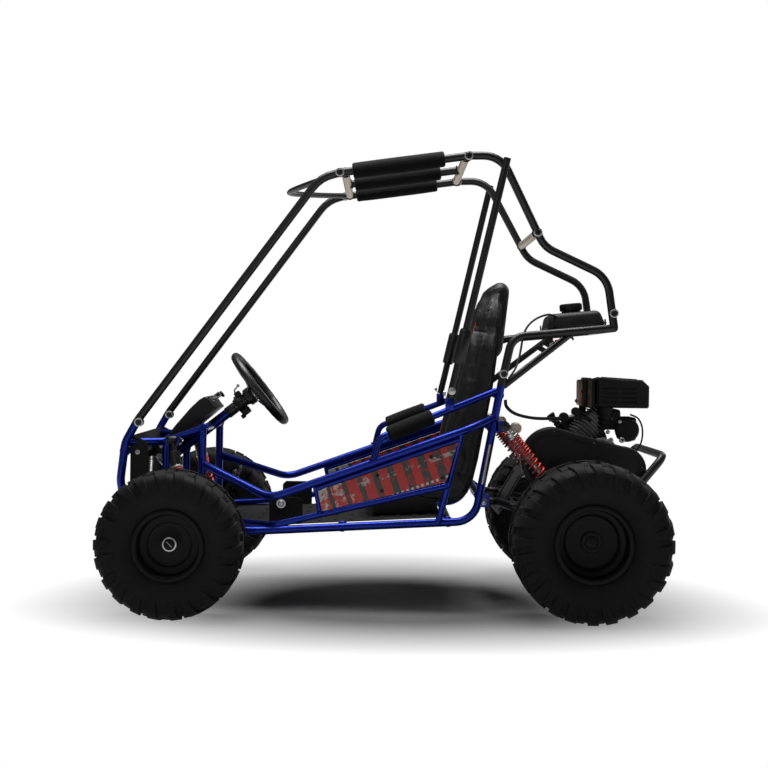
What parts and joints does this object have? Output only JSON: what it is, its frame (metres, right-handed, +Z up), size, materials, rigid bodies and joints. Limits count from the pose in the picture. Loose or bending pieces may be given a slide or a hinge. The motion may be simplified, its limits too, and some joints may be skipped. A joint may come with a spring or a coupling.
{
  "type": "off road go kart",
  "caption": "Single-seat off-road kart with a tubular roll cage, coil-over suspension, bucket seat, rear engine and knobbly tyres.",
  "frame": {"origin": "on the ground, under the middle of the bounding box", "axes": "+X towards the front, +Y to the driver's left, +Z up"},
  "size_m": [1.4794, 1, 1.2075],
  "materials": {
    "frame_blue": "gloss",
    "frame_black": "satin",
    "foam": "matte",
    "black_plastic": "satin",
    "panel_print": "satin",
    "seat_cover": "satin",
    "tyre": "matte",
    "rim": "satin",
    "steel": "satin",
    "spring": "gloss",
    "engine_alloy": "satin"
  },
  "bodies": {
    "frame": {"main_frame": "frame_blue", "front_frame": "frame_blue", "left_side_frame": "frame_blue", "right_side_frame": "frame_blue", "left_pillar": "frame_black", "right_pillar": "frame_black", "roof_frame": "frame_black", "rear_cage": "frame_black", "left_post": "frame_black", "right_post": "frame_black", "left_roof_pad": "foam", "middle_roof_pad": "foam", "right_roof_pad": "foam", "left_arm_pad": "foam", "right_arm_pad": "foam", "fuel_tank": "black_plastic", "left_side_panel": "panel_print", "right_side_panel": "panel_print", "floor_pan": "frame_black", "front_guard": "frame_black", "dash_hood": "black_plastic", "seat_shell": "black_plastic", "seat_cushion": "seat_cover"},
    "fuel_cap": {"fuel_cap": "black_plastic"},
    "ignition_key": {"ignition_key": "steel"},
    "choke_knob": {"choke_knob": "black_plastic"},
    "steering": {"steering_wheel": "black_plastic"},
    "brake_pedal": {"brake_pedal": "frame_black"},
    "throttle_pedal": {"throttle_pedal": "frame_black"},
    "swing_arm": {"swing_arm": "frame_black", "engine": "engine_alloy", "drive_cover": "black_plastic", "splash_guard": "frame_black"},
    "rear_axle": {"rear_axle": "steel", "left_rear_tyre": "tyre", "right_rear_tyre": "tyre", "left_rear_rim": "rim", "right_rear_rim": "rim"},
    "left_front_arm": {"left_front_arm": "frame_blue"},
    "left_knuckle": {"left_knuckle": "steel"},
    "left_front_wheel": {"left_front_tyre": "tyre", "left_front_rim": "rim"},
    "left_tie_rod": {"left_tie_rod": "steel"},
    "left_front_shock": {"left_front_shock_body": "steel", "left_front_spring": "spring"},
    "left_front_plunger": {"left_front_shock_rod": "steel"},
    "right_front_arm": {"right_front_arm": "frame_blue"},
    "right_knuckle": {"right_knuckle": "steel"},
    "right_front_wheel": {"right_front_tyre": "tyre", "right_front_rim": "rim"},
    "right_tie_rod": {"right_tie_rod": "steel"},
    "right_front_shock": {"right_front_shock_body": "steel", "right_front_spring": "spring"},
    "right_front_plunger": {"right_front_shock_rod": "steel"},
    "left_rear_shock": {"left_rear_shock_body": "steel", "left_rear_spring": "spring"},
    "left_rear_plunger": {"left_rear_shock_rod": "steel"},
    "right_rear_shock": {"right_rear_shock_body": "steel", "right_rear_spring": "spring"},
    "right_rear_plunger": {"right_rear_shock_rod": "steel"}
  },
  "joints": [
    {"name": "cap_turn", "type": "hinge", "parent": "frame", "child": "fuel_cap", "pos_m": [-0.50325, 0, 0.79939], "axis": [0.1013, 0, 0.9949], "range_deg": [0, 120]},
    {"name": "key_turn", "type": "hinge", "parent": "frame", "child": "ignition_key", "pos_m": [0.50097, 0.048, 0.53851], "axis": [0.7859, 0, -0.6184], "range_deg": [0, 90]},
    {"name": "choke_pull", "type": "slide", "parent": "frame", "child": "choke_knob", "axis": [-0.7859, 0, 0.6184], "range_m": [0, 0.012]},
    {"name": "steer", "type": "hinge", "parent": "frame", "child": "steering", "pos_m": [0.37266, 0, 0.5695], "axis": [-0.7859, 0, 0.6184], "range_deg": [-40, 40]},
    {"name": "brake_press", "type": "hinge", "parent": "frame", "child": "brake_pedal", "pos_m": [0.47866, 0.074, 0.236], "axis": [0, 1, 0], "range_deg": [0, 22], "stiffness_Nm_per_rad": 3, "springref_deg": -8.59},
    {"name": "throttle_press", "type": "hinge", "parent": "frame", "child": "throttle_pedal", "pos_m": [0.47866, -0.074, 0.236], "axis": [0, 1, 0], "range_deg": [0, 22], "stiffness_Nm_per_rad": 3, "springref_deg": -8.59},
    {"name": "left_front_travel", "type": "hinge", "parent": "frame", "child": "left_front_arm", "pos_m": [0.55666, 0.118, 0.264], "axis": [1, 0, 0], "range_deg": [-4, 5], "stiffness_Nm_per_rad": 600, "springref_deg": -2.84},
    {"name": "left_kingpin", "type": "hinge", "parent": "left_front_arm", "child": "left_knuckle", "pos_m": [0.55266, 0.338, 0.187], "axis": [0, 0, 1], "range_deg": [-22, 22]},
    {"name": "left_front_roll", "type": "hinge", "parent": "left_knuckle", "child": "left_front_wheel", "pos_m": [0.55266, 0.4275, 0.187], "axis": [0, 1, 0], "continuous": true},
    {"name": "left_tie_shift", "type": "slide", "parent": "left_front_arm", "child": "left_tie_rod", "axis": [0, 1, 0], "range_m": [-0.0272, 0.0272]},
    {"name": "left_front_shock_swing", "type": "hinge", "parent": "frame", "child": "left_front_shock", "pos_m": [0.58266, 0.226, 0.434], "axis": [1, 0, 0], "range_deg": [-1.6, 1.9]},
    {"name": "left_front_plunge", "type": "slide", "parent": "left_front_shock", "child": "left_front_plunger", "axis": [0.2018, -0.3127, 0.9282], "range_m": [-0.0114, 0.0142], "deforming": ["left_front_spring"]},
    {"name": "right_front_travel", "type": "hinge", "parent": "frame", "child": "right_front_arm", "pos_m": [0.55666, -0.118, 0.264], "axis": [-1, 0, 0], "range_deg": [-4, 5], "stiffness_Nm_per_rad": 600, "springref_deg": -2.84},
    {"name": "right_kingpin", "type": "hinge", "parent": "right_front_arm", "child": "right_knuckle", "pos_m": [0.55266, -0.338, 0.187], "axis": [0, 0, 1], "range_deg": [-22, 22]},
    {"name": "right_front_roll", "type": "hinge", "parent": "right_knuckle", "child": "right_front_wheel", "pos_m": [0.55266, -0.4275, 0.187], "axis": [0, 1, 0], "continuous": true},
    {"name": "right_tie_shift", "type": "slide", "parent": "right_front_arm", "child": "right_tie_rod", "axis": [0, 1, 0], "range_m": [-0.0272, 0.0272]},
    {"name": "right_front_shock_swing", "type": "hinge", "parent": "frame", "child": "right_front_shock", "pos_m": [0.58266, -0.226, 0.434], "axis": [-1, 0, 0], "range_deg": [-1.6, 1.9]},
    {"name": "right_front_plunge", "type": "slide", "parent": "right_front_shock", "child": "right_front_plunger", "axis": [0.2018, 0.3127, 0.9282], "range_m": [-0.0114, 0.0142], "deforming": ["right_front_spring"]},
    {"name": "rear_travel", "type": "hinge", "parent": "frame", "child": "swing_arm", "pos_m": [-0.25134, 0, 0.276], "axis": [0, 1, 0], "range_deg": [-5, 5], "stiffness_Nm_per_rad": 1500, "springref_deg": -1.22},
    {"name": "rear_roll", "type": "hinge", "parent": "swing_arm", "child": "rear_axle", "pos_m": [-0.50334, 0, 0.203], "axis": [0, 1, 0], "continuous": true},
    {"name": "left_rear_shock_swing", "type": "hinge", "parent": "frame", "child": "left_rear_shock", "pos_m": [-0.29634, 0.255, 0.484], "axis": [0, 1, 0], "range_deg": [-1.8, 1.8]},
    {"name": "left_rear_plunge", "type": "slide", "parent": "left_rear_shock", "child": "left_rear_plunger", "axis": [0.6241, 0, 0.7813], "range_m": [-0.0146, 0.0146], "deforming": ["left_rear_spring"]},
    {"name": "right_rear_shock_swing", "type": "hinge", "parent": "frame", "child": "right_rear_shock", "pos_m": [-0.29634, -0.255, 0.484], "axis": [0, 1, 0], "range_deg": [-1.8, 1.8]},
    {"name": "right_rear_plunge", "type": "slide", "parent": "right_rear_shock", "child": "right_rear_plunger", "axis": [0.6241, 0, 0.7813], "range_m": [-0.0146, 0.0146], "deforming": ["right_rear_spring"]}
  ],
  "couplings": [
    {"joint": "left_kingpin", "follows": "steer", "ratio": 0.55},
    {"joint": "left_tie_shift", "follows": "steer", "m_per_rad": 0.0386},
    {"joint": "left_front_shock_swing", "follows": "left_front_travel", "ratio": 0.3443},
    {"joint": "left_front_plunge", "follows": "left_front_travel", "m_per_rad": 0.16046},
    {"joint": "right_kingpin", "follows": "steer", "ratio": 0.55},
    {"joint": "right_tie_shift", "follows": "steer", "m_per_rad": 0.0386},
    {"joint": "right_front_shock_swing", "follows": "right_front_travel", "ratio": 0.3443},
    {"joint": "right_front_plunge", "follows": "right_front_travel", "m_per_rad": 0.16046},
    {"joint": "left_rear_shock_swing", "follows": "rear_travel", "ratio": 0.3388},
    {"joint": "left_rear_plunge", "follows": "rear_travel", "m_per_rad": 0.16493},
    {"joint": "right_rear_shock_swing", "follows": "rear_travel", "ratio": 0.3388},
    {"joint": "right_rear_plunge", "follows": "rear_travel", "m_per_rad": 0.16493}
  ]
}
